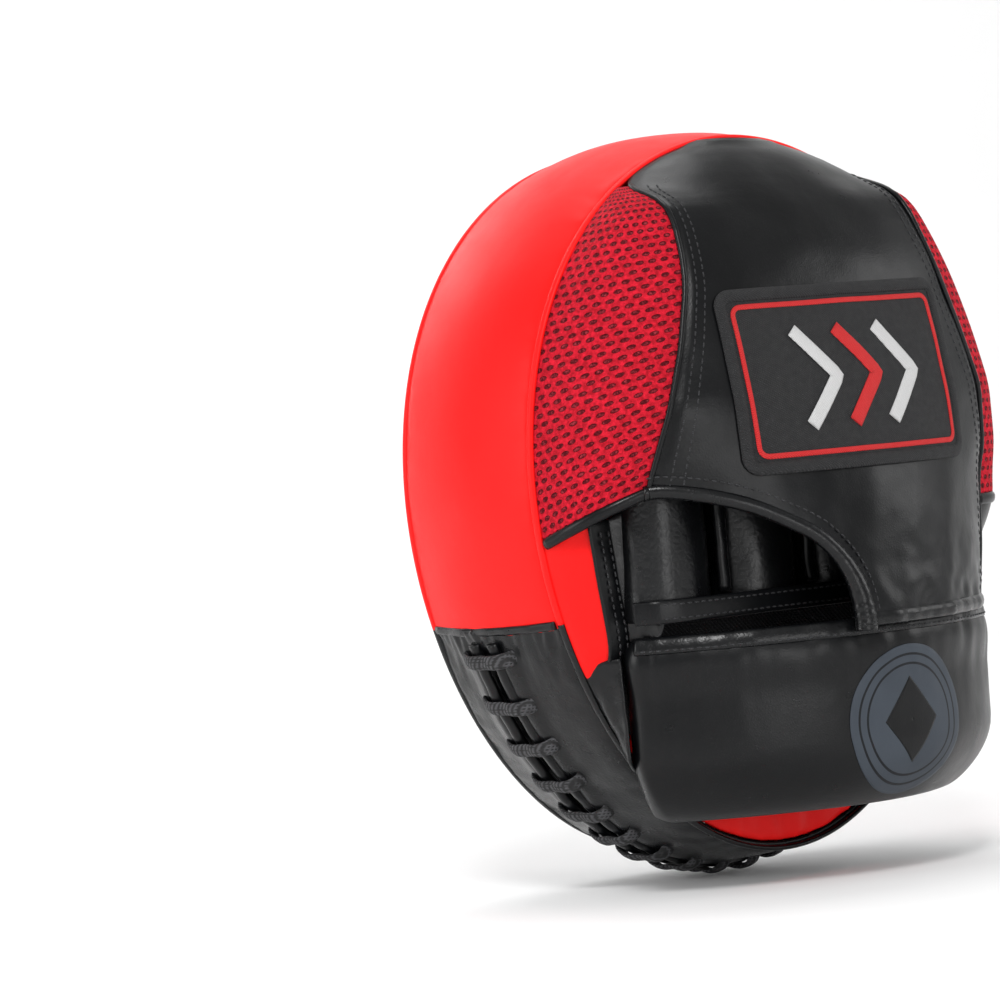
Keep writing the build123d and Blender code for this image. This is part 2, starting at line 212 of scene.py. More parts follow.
def sweep(path, ups, half_w, half_t, sides=12, closed=False):
    """Elliptical cross-sections along a path; ups gives the thickness direction at each point."""
    path = np.array(path, float)
    tangent = np.roll(path, -1, 0) - np.roll(path, 1, 0) if closed else np.gradient(path, axis=0)
    rows = []
    for p, t, up in zip(path, tangent, ups):
        t = t / np.linalg.norm(t)
        side = np.cross(t, up)
        side /= np.linalg.norm(side)
        high = np.cross(side, t)
        angles = np.linspace(0, 2 * math.pi, sides, endpoint=False)
        rows.append([p + side * half_w * math.cos(a) + high * half_t * math.sin(a) for a in angles])
    return rows


def stitch_row(name, path, ups, material, body, pitch=2.7, length=1.8, radius=0.34):
    """A row of short thread stitches lying along a path."""
    path, ups = np.array(path, float), np.array(ups, float)
    along = np.concatenate([[0], np.cumsum(np.linalg.norm(np.diff(path, axis=0), axis=1))])
    verts, faces = [], []
    profile = [(-0.5, 0.25), (-0.38, 0.85), (0.0, 1.0), (0.38, 0.85), (0.5, 0.25)]
    for s in np.arange(pitch / 2, along[-1] - pitch / 2, pitch):
        here, ahead = (np.array([np.interp(v, along, path[:, k]) for k in range(3)]) for v in (s, s + 0.5))
        up = np.array([np.interp(s, along, ups[:, k]) for k in range(3)])
        t = (ahead - here) / np.linalg.norm(ahead - here)
        side = np.cross(t, up)
        side /= np.linalg.norm(side)
        base = len(verts)
        for f, r in profile:
            for a in range(6):
                turn = math.radians(60 * a)
                offset = side * math.cos(turn) + up * math.sin(turn)
                verts.append(here + t * f * length + offset * radius * r)
        for k in range(len(profile) - 1):
            for a in range(6):
                n = (a + 1) % 6
                faces.append(tuple(base + v for v in (k * 6 + a, k * 6 + n, k * 6 + 6 + n, k * 6 + 6 + a)))
        faces.append(tuple(base + a for a in reversed(range(6))))
        faces.append(tuple(base + 6 * (len(profile) - 1) + a for a in range(6)))
    return mesh_object(name, verts, faces, material, body)


# ---- materials ----
class Nodes:
    """A small helper that adds and links shader nodes of one material."""

    def __init__(self, name):
        self.material = bpy.data.materials.new(name)
        self.material.use_nodes = True
        self.tree = self.material.node_tree
        self.shader = self.tree.nodes["Principled BSDF"]

    def add(self, kind, **values):
        node = self.tree.nodes.new("ShaderNode" + kind)
        for key, value in values.items():
            if key in node.inputs:
                node.inputs[key].default_value = value
            else:
                setattr(node, key, value)
        return node

    def link(self, a, b):
        self.tree.links.new(a, b)

    def math(self, operation, a, b=None):
        node = self.add("Math", operation=operation)
        for socket, value in zip(node.inputs, (a, b)):
            if isinstance(value, (int, float)):
                socket.default_value = value
            elif value is not None:
                self.link(value, socket)
        return node.outputs[0]

    def noise(self, scale, detail=4.0, vector=None):
        node = self.add("TexNoise", Scale=scale, Detail=detail)
        self.link(vector or self.add("TexCoord").outputs["Object"], node.inputs["Vector"])
        return node.outputs["Fac"]

    def ramp(self, value, low, high, dark, light):
        node = self.add("ValToRGB")
        node.color_ramp.elements[0].position, node.color_ramp.elements[1].position = low, high
        node.color_ramp.elements[0].color = (*dark, 1)
        node.color_ramp.elements[1].color = (*light, 1)
        self.link(value, node.inputs["Fac"])
        return node.outputs["Color"]

    def mix(self, factor, a, b):
        node = self.add("Mix", data_type="RGBA")
        self.link(factor, node.inputs[0])
        for socket, value in ((node.inputs[6], a), (node.inputs[7], b)):
            if isinstance(value, tuple):
                socket.default_value = (*value, 1)
            else:
                self.link(value, socket)
        return node.outputs[2]

    def bump(self, height, strength, distance, after=None):
        node = self.add("Bump", Strength=strength, Distance=distance)
        self.link(height, node.inputs["Height"])
        if after:
            self.link(after, node.inputs["Normal"])
        return node.outputs["Normal"]

    def range(self, value, low, high):
        node = self.add("MapRange")
        node.inputs["To Min"].default_value, node.inputs["To Max"].default_value = low, high
        self.link(value, node.inputs["Value"])
        return node.outputs["Result"]


def leather(name, dark, light, rough, grain=1.0, gloss=0.3, crease=0.25):
    """Smooth synthetic leather: fine grain, soft creases and a slightly uneven gloss."""
    n = Nodes(name)
    place = n.add("TexCoord").outputs["Object"]
    cells = n.add("TexVoronoi", Scale=950.0 / grain, feature="DISTANCE_TO_EDGE")
    n.link(place, cells.inputs["Vector"])
    broad = n.noise(14.0, 3.0, place)
    n.link(n.ramp(broad, 0.3, 0.7, dark, light), n.shader.inputs["Base Color"])
    n.link(n.range(n.noise(90.0, 5.0, place), rough - 0.09, rough + 0.09), n.shader.inputs["Roughness"])
    soft = n.bump(n.noise(55.0, 6.0, place), crease, 0.0009)
    fine = n.bump(cells.outputs["Distance"], 0.22 * grain, 0.00022, soft)
    n.link(fine, n.shader.inputs["Normal"])
    n.shader.inputs["Specular IOR Level"].default_value = gloss
    return n.material


def staggered_ovals(n, pitch_u, pitch_v, half_u, half_v):
    """1 inside a brick pattern of ovals over the metric map, 0 outside."""
    uv = n.add("UVMap", uv_map="metric")
    parts = n.add("SeparateXYZ")
    n.link(uv.outputs["UV"], parts.inputs[0])
    row = n.math("MULTIPLY", parts.outputs[1], 1 / pitch_v)
    shift = n.math("MULTIPLY", n.math("MODULO", n.math("FLOOR", row), 2.0), 0.5)
    column = n.math("ADD", n.math("MULTIPLY", parts.outputs[0], 1 / pitch_u), shift)
    across = n.math("MULTIPLY", n.math("SUBTRACT", n.math("FRACT", column), 0.5), pitch_u / half_u)
    down = n.math("MULTIPLY", n.math("SUBTRACT", n.math("FRACT", row), 0.5), pitch_v / half_v)
    far = n.math("SQRT", n.math("ADD", n.math("MULTIPLY", across, across), n.math("MULTIPLY", down, down)))
    edge = n.add("MapRange", interpolation_type="SMOOTHSTEP")
    n.link(far, edge.inputs["Value"])
    for key, value in (("From Min", 0.75), ("From Max", 1.25), ("To Min", 1.0), ("To Max", 0.0)):
        edge.inputs[key].default_value = value
    return edge.outputs["Result"]


def spacer_mesh(name):
    """Knitted spacer fabric with rows of oval holes."""
    n = Nodes(name)
    hole = staggered_ovals(n, 5.0, 3.0, 1.45, 0.72)
    knit = n.ramp(n.noise(700.0, 3.0), 0.35, 0.7, (0.32, 0.004, 0.012), (0.62, 0.010, 0.028))
    # inside the holes: the lower knit, painted darker as the shade inside the holes
    inside = n.ramp(n.noise(1100.0, 2.0), 0.45, 0.75, (0.07, 0.002, 0.005), (0.30, 0.030, 0.040))
    n.link(n.mix(hole, knit, inside), n.shader.inputs["Base Color"])
    n.shader.inputs["Roughness"].default_value = 0.8
    n.shader.inputs["Specular IOR Level"].default_value = 0.12
    depth = n.math("SUBTRACT", n.math("MULTIPLY", n.noise(900.0, 2.0), 0.35), hole)
    n.link(n.bump(depth, 1.0, 0.0012), n.shader.inputs["Normal"])
    return n.material


def braid(name, dark, light, pitch):
    """Braided or woven thread: crossed diagonal strands."""
    n = Nodes(name)
    place = n.add("TexCoord").outputs["Object"]
    waves = []
    for direction in ("DIAGONAL", "X", "Z"):
        wave = n.add("TexWave", Scale=pitch, Distortion=0.6, bands_direction=direction)
        n.link(place, wave.inputs["Vector"])
        waves.append(wave.outputs["Fac"])
    weave = n.math("MAXIMUM", n.math("MULTIPLY", waves[0], waves[1]), n.math("MULTIPLY", waves[0], waves[2]))
    n.link(n.ramp(weave, 0.1, 0.8, dark, light), n.shader.inputs["Base Color"])
    n.link(n.range(n.noise(400.0), 0.6, 0.9), n.shader.inputs["Roughness"])
    n.link(n.bump(weave, 0.7, 0.0004), n.shader.inputs["Normal"])
    return n.material


def foam(name, colour):
    """Closed-cell foam or board: fine pores."""
    n = Nodes(name)
    shade = tuple(c * 0.7 for c in colour)
    n.link(n.ramp(n.noise(600.0), 0.3, 0.7, shade, colour), n.shader.inputs["Base Color"])
    n.shader.inputs["Roughness"].default_value = 0.9
    n.link(n.bump(n.noise(1500.0), 0.5, 0.0003), n.shader.inputs["Normal"])
    return n.material


def ringed_print(name, dark, light, line):
    """Print on leather with two thin rings; the metric map's second value runs in from the edge."""
    n = Nodes(name)
    parts = n.add("SeparateXYZ")
    n.link(n.add("UVMap", uv_map="metric").outputs["UV"], parts.inputs[0])
    ring = None
    for centre, half in ((21.6, 0.4), (18.4, 0.4)):
        near = n.math("LESS_THAN", n.math("ABSOLUTE", n.math("SUBTRACT", parts.outputs[1], centre)), half)
        ring = near if ring is None else n.math("MAXIMUM", ring, near)
    n.link(n.mix(ring, n.ramp(n.noise(40.0), 0.3, 0.7, dark, light), line), n.shader.inputs["Base Color"])
    n.link(n.range(n.noise(200.0), 0.42, 0.55), n.shader.inputs["Roughness"])
    n.link(n.bump(n.noise(900.0), 0.2, 0.0002), n.shader.inputs["Normal"])
    n.shader.inputs["Specular IOR Level"].default_value = 0.2
    return n.material


BLACK_DYE, BLACK_WORN, GRAINED_WORN = (0.0018, 0.002, 0.0024), (0.004, 0.0043, 0.005), (0.005, 0.0053, 0.006)
RED = leather("red_leather", (0.80, 0.006, 0.006), (0.93, 0.010, 0.009), 0.40, 0.8, 0.13, 0.3)
BLACK = leather("black_leather", BLACK_DYE, BLACK_WORN, 0.31, 0.9, 0.24, 0.35)
SOFT_BLACK = leather("creased_black_leather", BLACK_DYE, BLACK_WORN, 0.28, 1.3, 0.3, 0.7)
GRAINED = leather("textured_black_leather", BLACK_DYE, GRAINED_WORN, 0.3, 2.2, 0.36, 0.6)
MESH = spacer_mesh("red_spacer_mesh")
LACE = braid("black_braid", (0.003, 0.003, 0.0035), (0.055, 0.055, 0.060), 300.0)
CLOTH = braid("lining_cloth", (0.008, 0.008, 0.009), (0.03, 0.03, 0.034), 380.0)
THREAD = braid("black_thread", (0.008, 0.008, 0.009), (0.050, 0.051, 0.056), 900.0)
FOAM = foam("grey_foam", (0.16, 0.16, 0.17))
BOARD = foam("palm_board", (0.06, 0.055, 0.05))
SLATE_PRINT = ringed_print("slate_print", (0.036, 0.044, 0.056), (0.046, 0.056, 0.070), (0.006, 0.007, 0.009))
RED_PRINT = ringed_print("red_print", (0.60, 0.008, 0.008), (0.78, 0.012, 0.012), (0.75, 0.75, 0.75))
BADGE_BLACK = braid("badge_twill", (0.003, 0.003, 0.0035), (0.012, 0.012, 0.014), 650.0)
BADGE_RED = braid("badge_red_thread", (0.45, 0.006, 0.008), (0.8, 0.02, 0.02), 900.0)
BADGE_GREY = braid("badge_grey_thread", (0.5, 0.5, 0.5), (0.8, 0.8, 0.8), 900.0)

# ---- CAD nodes that stay, with better materials ----
KEPT = {
    "cushion_foam": FOAM, "hood_padding": FOAM, "palm_board": BOARD,
    "hood_lining": CLOTH, "lace_tongue": BLACK,
}
for node_name, node_material in KEPT.items():
    node_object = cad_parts[node_name]
    node_object.data.materials.clear()
    node_object.data.materials.append(node_material)


# ---- side band ----
def band_point(angle, y, lift=0.0):
    """A point on the side band, in the angle and depth, lifted outwards."""
    x, z = egg(angle, swell(y) + lift)
    return np.array([x, y, z])


def band_out(angle):
    """The outward direction of the side band."""
    a, b = egg(angle - 1), egg(angle + 1)
    out = np.array([b[1] - a[1], 0.0, a[0] - b[0]])
    return out / np.linalg.norm(out)


def slit_share(z):
    """1 where the laced slit is open, 0 above it."""
    return 1 - smooth(-50.0, -42.0, z)


def puckers(angle, y, size):
    """Small gathers next to both seams of the side band."""
    edge = math.exp(-min(y, PAD_T - y) / 7.0)
    arc = angle * 1.9
    return size * edge * ripple((arc, y * 0.35, 0), 5.5, 3.0)


def band_surface(angle, y, wrinkle):
    """The band's outer face with puckers, soft creases and the slit."""
    _, z = egg(angle)
    open_slit = slit_share(z) if wrinkle > 1 else 0.0
    from_slit = abs(y - LACE_Y)
    lift = puckers(angle, y, 0.7 * wrinkle) + 0.9 * wrinkle * ripple((angle * 1.9, y * 0.8, 0), 26.0, 1.0)
    if wrinkle > 1:
        near_fold = math.exp(-abs(z - BAND_SPLIT_Z) / 9.0)
        lift += (1.5 * near_fold * ripple((angle * 0.9, y * 1.6, 0), 5.0, 9.0)
                 + 0.35 * ripple((angle * 1.9, y, 0), 9.0))
    raised_lip = 1.5 * math.exp(-((from_slit - 9) / 4.5) ** 2)
    lift += open_slit * (raised_lip - 6.0 * (1 - smooth(2.0, 5.5, from_slit)))
    lift *= smooth(0, 3, y) * smooth(0, 3, PAD_T - y)
    roll = 1.3 * math.exp(-y / 1.2) + 0.3 * math.exp(-(PAD_T - y) / 1.2)
    return band_point(angle, y, lift - roll)


def band_grid(start, end, steps, wrinkle):
    depths = np.concatenate([np.linspace(0, 4, 6), np.linspace(5.5, PAD_T - 5.5, 62),
                             np.linspace(PAD_T - 4, PAD_T, 6)])
    return [[band_surface(a, y, wrinkle) for y in depths] for a in np.linspace(start, end, steps)]


SPLIT_ANGLE = math.degrees(math.asin(BAND_SPLIT_Z / (PAD_H / 2)))
INSIDE_PAD = (0, 34, 0)
thick_sheet("red_band", band_grid(SPLIT_ANGLE - 0.6, 180 - SPLIT_ANGLE + 0.6, 420, 0.55), 1.8, INSIDE_PAD,
            RED, "pad", ["red_side_band"])
thick_sheet("lower_band", band_grid(180 - SPLIT_ANGLE, 360 + SPLIT_ANGLE, 420, 1.2), 1.8, INSIDE_PAD,
            SOFT_BLACK, "pad", ["lower_side_band"])

# fold where the red leather meets the black
for side, angle in (("thumb", 180 - SPLIT_ANGLE), ("little", 360 + SPLIT_ANGLE)):
    fold = [band_point(angle, y, 0.1 + 0.5 * ripple((0, y, 0), 9.0))
            for y in np.linspace(1.5, PAD_T - 1.5, 40)]
    ring_solid(f"band_joint_{side}", sweep(fold, [band_out(angle)] * 40, 1.5, 0.7), SOFT_BLACK, "pad",
               closed=False)

# rolled seams at both edges of the band: red leather above, black below
RING = np.linspace(0, 360, 481)
for name, y, node in (("front", PAD_T + 0.3, "front_seam_welt"), ("back", -0.5, "back_seam_welt")):
    for tag, low, high, skin, slot in (
        ("red", SPLIT_ANGLE, 180 - SPLIT_ANGLE, RED, "red_leather"),
        ("black", 180 - SPLIT_ANGLE, 360 + SPLIT_ANGLE, SOFT_BLACK, "black_leather"),
    ):
        span = np.linspace(low, high, 300)
        path = [np.array([egg(a, -0.5)[0], y, egg(a, -0.5)[1]]) for a in span]
        rows = sweep(path, [band_out(a) for a in span], 1.5, 1.0)
        ring_solid(f"{name}_welt_{tag}", rows, skin, "pad", [node] if tag == "black" else [],
                   closed=False)


# ---- laced slit ----
def lace_angle(i):
    return 180 + LACE_FIRST + (LACE_LAST - LACE_FIRST) * i / (LACE_BARS - 1)


LIP_SPAN = np.linspace(LACE_FIRST + 180 - 2.5, LACE_LAST + 180 + 2.5, 260)
for name, y in (("hand", LACE_Y - 5.0), ("strike", LACE_Y + 5.0)):
    path = [band_point(a, y, 0.8 + 0.35 * ripple((a, y, 0), 2.5)) for a in LIP_SPAN]
    ring_solid(f"slit_lip_{name}", sweep(path, [band_out(a) for a in LIP_SPAN], 2.5, 1.7), BLACK, "pad",
               [f"lace_lip_{name}_side"], closed=False)

lace_verts, lace_faces = [], []
LACE_SIDES = 10


def add_ribbon(path, ups):
    """Adds one stretch of the flat lace to the lace's mesh."""
    rows = np.array(sweep(path, ups, 2.7, 0.95, LACE_SIDES))
    base = len(lace_verts)
    lace_verts.extend(rows.reshape(-1, 3))
    for i in range(len(rows) - 1):
        here, ahead = base + i * LACE_SIDES, base + (i + 1) * LACE_SIDES
        for j in range(LACE_SIDES):
            n = (j + 1) % LACE_SIDES
            lace_faces.append((here + j, ahead + j, ahead + n, here + n))
    lace_faces.append(tuple(base + j for j in range(LACE_SIDES)))
    lace_faces.append(tuple(base + (len(rows) - 1) * LACE_SIDES + j for j in reversed(range(LACE_SIDES))))


BAR = [(-13.5, -4.4), (-13.2, -1.0), (-12.0, 1.6), (-9.0, 3.2), (-5.0, 3.9), (0.0, 3.4),
       (5.0, 3.9), (9.0, 3.2), (12.0, 1.6), (13.2, -1.0), (13.5, -4.4)]
for i in range(LACE_BARS):
    a = lace_angle(i)
    skew = 0.9 * ripple((i * 7.3, 0, 0), 1.7)
    bar = curve_through([band_point(a + skew * dy / 13.0, LACE_Y + dy, h) for dy, h in BAR], 34)
    add_ribbon(bar, [band_out(a) + np.array([0, 0.9 * (p[1] - LACE_Y) / 13.0, 0]) for p in bar])
    if i < LACE_BARS - 1:
        y = LACE_Y + (LACE_HALF if i % 2 == 0 else -LACE_HALF)
        span = np.linspace(a, lace_angle(i + 1), 8)
        add_ribbon([band_point(t, y, -4.6) for t in span], [band_out(t) for t in span])
mesh_object("braided_lace", lace_verts, lace_faces, LACE, "pad", ["side_lace"])


# ---- strike face ----
def face_point(angle, a, drop=0.0):
    """A point of the domed strike face; a runs from 0 at the rim to 90 at the flat middle."""
    s = math.radians(a)
    lift = (DOME_H - drop) * math.sin(s)
    grow = -RIM - drop - (DOME_REACH - drop) * (1 - math.cos(s))
    x, z = egg(angle, grow)
    crease = 0.9 * math.exp(-a / 22.0) * smooth(0, 8, a) * ripple((angle * 1.4, a * 0.2, 0), 4.5, 5.0)
    return np.array([x, PAD_T + lift + crease, z])


def face_grid(steps):
    grid = []
    for angle in RING[:-1]:
        rim = [face_point(angle, a) for a in list(np.linspace(0, 84, steps))]
        x, y, z = rim[-1]
        rim += [np.array([x * f, y + 1.2 * (1 - f * f), z * f]) for f in (0.8, 0.6, 0.4, 0.2, 0.06)]
        grid.append(rim)
    return grid


thick_sheet("strike_leather", face_grid(44), 1.8, (0, 0, 0), BLACK, "strike_face",
            ["strike_panel"], around=True)
cap = [face_grid(44)[i][-1] for i in range(0, 480, 4)]
cap_under = [p - np.array([0, 1.8, 0]) for p in cap]
cap_faces = [tuple(range(120)), tuple(range(239, 119, -1))]
cap_faces += [(i, (i + 1) % 120, 120 + (i + 1) % 120, 120 + i) for i in range(120)]
mesh_object("strike_leather_middle", cap + cap_under, cap_faces, BLACK, "strike_face")

# the impact foam under the strike leather: it is squashed against the foam behind it
FOAM_LOW, FOAM_GAP = 34.1, 2.6
layers = []
for angle in RING[:-1:4]:
    column = [np.array([c[0], FOAM_LOW, c[1]]) for c in (egg(angle, -g) for g in (86, 60, 30, 14, 10.4))]
    column.append(np.array([egg(angle, -9.9)[0], FOAM_LOW + 0.6, egg(angle, -9.9)[1]]))
    wall_x, wall_z = egg(angle, -9.8)
    column += [np.array([wall_x, y, wall_z]) for y in np.linspace(36, PAD_T - 2, 12)]
    for a in np.linspace(26, 84, 16):
        skin = face_point(angle, a)
        column.append(np.array([skin[0] * 0.985, min(skin[1], PAD_T + DOME_H) - FOAM_GAP, skin[2] * 0.985]))
    layers.append(column)
rows = np.array(layers)
count, deep = rows.shape[:2]
foam_faces = []
for i in range(count):
    here, ahead = i * deep, ((i + 1) % count) * deep
    foam_faces += [(here + j, here + j + 1, ahead + j + 1, ahead + j) for j in range(deep - 1)]
foam_faces.append(tuple(i * deep for i in range(count)))
foam_faces.append(tuple(i * deep + deep - 1 for i in reversed(range(count))))
impact = mesh_object("impact_foam_block", rows.reshape(-1, 3), foam_faces, FOAM, "pad",
                     ["impact_foam"])
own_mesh(impact)

EMBLEM_R = 24.0


def face_height(x, z):
    """Height of the strike face near its middle."""
    flat_x, flat_z = egg(math.degrees(math.atan2(z, x)) if (x or z) else 0, -RIM - DOME_REACH)
    share = min(1.0, math.hypot(x, z) / max(1.0, math.hypot(flat_x, flat_z)))
    return PAD_T + DOME_H + 1.2 * (1 - share * share)


emblem = [[np.array([r * math.cos(t), face_height(r * math.cos(t), r * math.sin(t)) + 0.35, r * math.sin(t)])
           for r in np.linspace(0.3, EMBLEM_R, 22)] for t in np.linspace(0, 2 * math.pi, 96, endpoint=False)]
thick_sheet("strike_emblem_print", emblem, 0.3, (0, 0, 0), RED_PRINT, "strike_face",
            ["strike_emblem"], around=True)

# ---- hood ----
# Rows are z, seam x, seam depth and middle depth, as measured in the photo through the camera below.
# A seam x of 0 means that the seam is on the outline.
HOOD = [(121.6, 0, 0, 2.5), (119, 0, 0, 8), (115, 0, 0, 14), (111, 0, 0, 19), (107, 0, 0, 23.5),
        (104, 50.2, 13, 26.3), (100, 51, 25, 29.6), (92, 52, 31.5, 35), (80, 53.8, 36.2, 42.2),
        (70, 55.9, 39, 46), (50, 61.9, 41, 51.2), (30, 68.8, 41, 55.6), (10, 73.7, 35.2, 59.3),
        (0, 74.5, 31, 60.8), (-12, 73.8, 30.5, 62.2), (-24, 72.5, 31, 63.3), (-43.5, 70, 30.5, 64.6)]
HOOD_Z = [row[0] for row in HOOD][::-1]
HOOD_ROWS = np.array([(x or egg_half_width(z) - 0.8, d, m) for z, x, d, m in HOOD])[::-1]


def hood_row(z):
    """Seam x, seam depth and middle depth at height z, smoothed between the rows."""
    return [sum(np.interp(z + dz, HOOD_Z, HOOD_ROWS[:, k]) for dz in (-3, 0, 3)) / 3 for k in range(3)]


def hood_point(s, z, lift=0.0):
    """A point of the hood: s is 0 in the middle, 1 at the long seam and 2 at the pad's outline."""
    seam_x, seam_d, mid_d = hood_row(z)
    base = egg_half_width(z) - 0.8
    seam_x = min(seam_x, base)
    side = -1 if s < 0 else 1
    s = abs(s)
    if s <= 1:
        power = 0.6 + 0.4 * min(1.0, seam_d / 20.0)
        x, d = s * seam_x, seam_d + (mid_d - seam_d) * (1 - s**2.2) ** power
    else:
        v = s - 1
        bow = 4 * v * (1 - v) * min(1.0, seam_d / 30.0) * (0.1 + 0.9 * smooth(-32, -6, z))
        x, d = (1 - v) * seam_x + v * base + 5.6 * bow, (1 - v) * seam_d + 5.2 * bow
    reach = math.hypot(x, d) or 1.0
    return np.array([side * (x + lift * x / reach * 0.9), -(d + lift * max(0.35, d / reach)), z])


def hood_normal(s, z):
    """Outward normal of the hood."""
    a = hood_point(s + 0.02, z) - hood_point(s - 0.02, z)
    b = hood_point(s, z + 0.5) - hood_point(s, z - 0.5)
    n = np.cross(a, b)
    n /= np.linalg.norm(n)
    return n if n[1] < 0 else -n


WINDOW = [(-80, 3.3), (-77, 3.7), (-70, 4.0), (-58, 1.2), (-46, -3.2), (-35.6, -8.8), (-26, -15.0),
          (-18.5, -23.5), (-14, -33), (-12.4, -43.5)]


def panel_low(s):
    """The hood panel's lower edge: the window's arch on the thumb side, the cuff seam elsewhere."""
    z = 0.0
    for _ in range(3):
        x = s * hood_row(z)[0]
        z = np.interp(x, [p[0] for p in WINDOW], [p[1] for p in WINDOW]) if x < -12.4 else -43.5
    return z


HOOD_INSIDE = (0, 10, 20)
CREASE = 0.55


def hood_skin(s, z, lift, wrinkle=CREASE):
    """A point of the hood's skin with soft wrinkles."""
    p = hood_point(s, z, lift)
    low = math.exp(-max(0.0, z + 44) / 16.0) * 1.6
    height = wrinkle * (1 + low) * ripple(p, 17.0, 2.0) + 0.5 * low * ripple(p, 6.0, 4.0)
    return p + hood_normal(s, z) * height


columns = np.linspace(-1, 1, 221)
panel = []
for s in columns:
    low = panel_low(s)
    heights = low + (120.8 - low) * np.linspace(0, 1, 130)
    edge = 1.1 * smooth(0.93, 1.0, abs(s))
    panel.append([hood_skin(s, z, 1.2 - edge * 0.9) for z in heights])
thick_sheet("hood_leather", panel, 2.2, HOOD_INSIDE, BLACK, "pad", ["hood_panel"])
hem_s = np.linspace(-0.17, 1.12, 120)
hem = [hood_skin(s, -43.8, 0.6) for s in hem_s]
ring_solid("hood_hem", sweep(hem, [hood_normal(s, -43.8) for s in hem_s], 2.6, 1.5), SOFT_BLACK, "pad",
           closed=False)

for side, tag in ((-1, "thumb"), (1, "little")):
    grid = []
    for s in np.linspace(1.0, 1.995, 40):
        low = 4.0 - 15.0 * (s - 1) if side < 0 else -9.5
        heights = low + (106.0 - low) * np.linspace(0, 1, 110)
        puff = 0.8 * math.sin(math.pi * (s - 1))
        grid.append([hood_point(side * s, z, -0.3 + puff) for z in heights])
    thick_sheet(f"mesh_{tag}", grid, 2.4, HOOD_INSIDE, MESH, "pad", [f"mesh_side_{tag}"])
    heights = np.linspace(106, 4 if side < 0 else -42, 120)
    for k, s in enumerate((0.925, 0.875)):
        row = [hood_skin(side * s, z, 1.15) for z in heights]
        stitch_row(f"hood_stitches_{tag}_{k}", row, [hood_normal(side * s, z) for z in heights], THREAD,
                   "pad")
    fold = [hood_point(side, z, 0.5) for z in heights]
    fold_up = [hood_normal(side, z) for z in heights]
    ring_solid(f"hood_seam_fold_{tag}", sweep(fold, fold_up, 1.0, 0.9), BLACK, "pad",
               closed=False)

# binding under each mesh side
for side, tag in ((-1, "thumb"), (1, "little")):
    shares = np.linspace(1, 1.93, 30)
    path = [hood_point(side * s, (4.0 - 15.0 * (s - 1)) if side < 0 else -9.5, 0.4) for s in shares]
    ups = [hood_normal(side * s, -8) for s in shares]
    ring_solid(f"mesh_binding_{tag}", sweep(path, ups, 2.0, 1.2), BLACK, "pad", closed=False)

# little-finger side wall, below the mesh
grid = [[hood_skin(s, z, 0.2, 0.8) for z in np.linspace(-43.5, -9.8, 40)] for s in np.linspace(1.0, 1.99, 40)]
thick_sheet("side_wall_little_leather", grid, 2.0, HOOD_INSIDE, BLACK, "pad",
            ["side_wall_little"])

# red wall at the thumb: from the outline out to its inner edge
WALL_EDGE = curve_through([(-85.5, -15.5, -4.0), (-83, -15, -24), (-79.5, -13.5, -44), (-76.5, -8.0, -53)], 40)
WALL_BASE = [np.array([-(egg_half_width(z) - 0.8), -1.6, z]) for z in np.linspace(-11, -56, 40)]
grid = []
for v in np.linspace(0, 1, 22):
    row = []
    for a, b in zip(WALL_BASE, WALL_EDGE):
        p = a * (1 - v) + b * v + np.array([-1, 0, 0]) * 1.8 * math.sin(math.pi * v)
        row.append(p + np.array([-0.4, 0, 0]) * ripple(p, 7.0) * math.sin(math.pi * v))
    grid.append(row)
thick_sheet("thumb_wall_leather", grid, 1.6, (0, 0, -20), RED, "pad", ["side_wall_thumb"])
STRIP_IN = WALL_EDGE + np.array([8.0, 0.6, 0.0])
LINER_IN = curve_through([(-67.0, -25.0, 1.0), (-66.5, -25.5, -20), (-67.5, -25.0, -41), (-69, -18.0, -46)], 40)
for name, near, far, depth, skin in (
    ("thumb_wall_strip", WALL_EDGE + np.array([-1.2, -0.6, 0]), STRIP_IN, 0.5, BLACK),
    ("thumb_wall_liner", STRIP_IN, LINER_IN, -2.2, GRAINED),
):
    grid = []
    for v in np.linspace(0, 1, 24):
        across = near * (1 - v) + far * v
        bow = math.sin(math.pi * v)
        grid.append([p + np.array([0, -1.0, 0]) * bow * (depth + 0.5 * ripple(p, 7.0, 3.0)) for p in across])
    thick_sheet(name, grid, 1.2, (-70, 5, -25), skin, "pad")
for k, (share, y) in enumerate(((0.3, -1.3), (0.75, -1.1))):
    row = WALL_EDGE * (1 - share) + STRIP_IN * share + np.array([0, y, 0])
    stitch_row(f"thumb_wall_stitches_{k}", row[2:-2], [np.array([0, -1.0, 0])] * 36, THREAD, "pad")

# ---- window's rolled edge ----
arch = curve_through([(x, z) for x, z in WINDOW[1:]] + [(-12.6, -47.5)], 110)
arch_s = [x / hood_row(z)[0] for x, z in arch]
arch_path = [hood_point(s, z, 0.2) for s, (x, z) in zip(arch_s, arch)]
arch_up = [hood_normal(s, z) for s, (x, z) in zip(arch_s, arch)]
roll_width = [2.6 + 1.3 * smooth(60, 100, k) for k in range(110)]
roll_rows = []
for k, ring in enumerate(sweep(arch_path, arch_up, 1.0, 0.9, 18)):
    gather = 1 + 0.16 * smooth(40, 80, k) * ripple((k * 1.0, 0, 0), 1.6, 2.0)
    roll_rows.append([arch_path[k] + (p - arch_path[k]) * roll_width[k] * gather for p in ring])
ring_solid("window_roll", roll_rows, SOFT_BLACK, "pad",
           ["window_binding"], closed=False)
arch_side = [np.cross(t, u) for t, u in zip(np.gradient(np.array(arch_path), axis=0), arch_up)]
arch_side = [v / np.linalg.norm(v) for v in arch_side]
inward = 1 if arch_side[40][2] > 0 else -1
row = [p + inward * 5.2 * v + u * 1.2 for p, v, u in zip(arch_path, arch_side, arch_up)]
stitch_row("window_stitches", row[4:-12], arch_up[4:-12], THREAD, "pad")

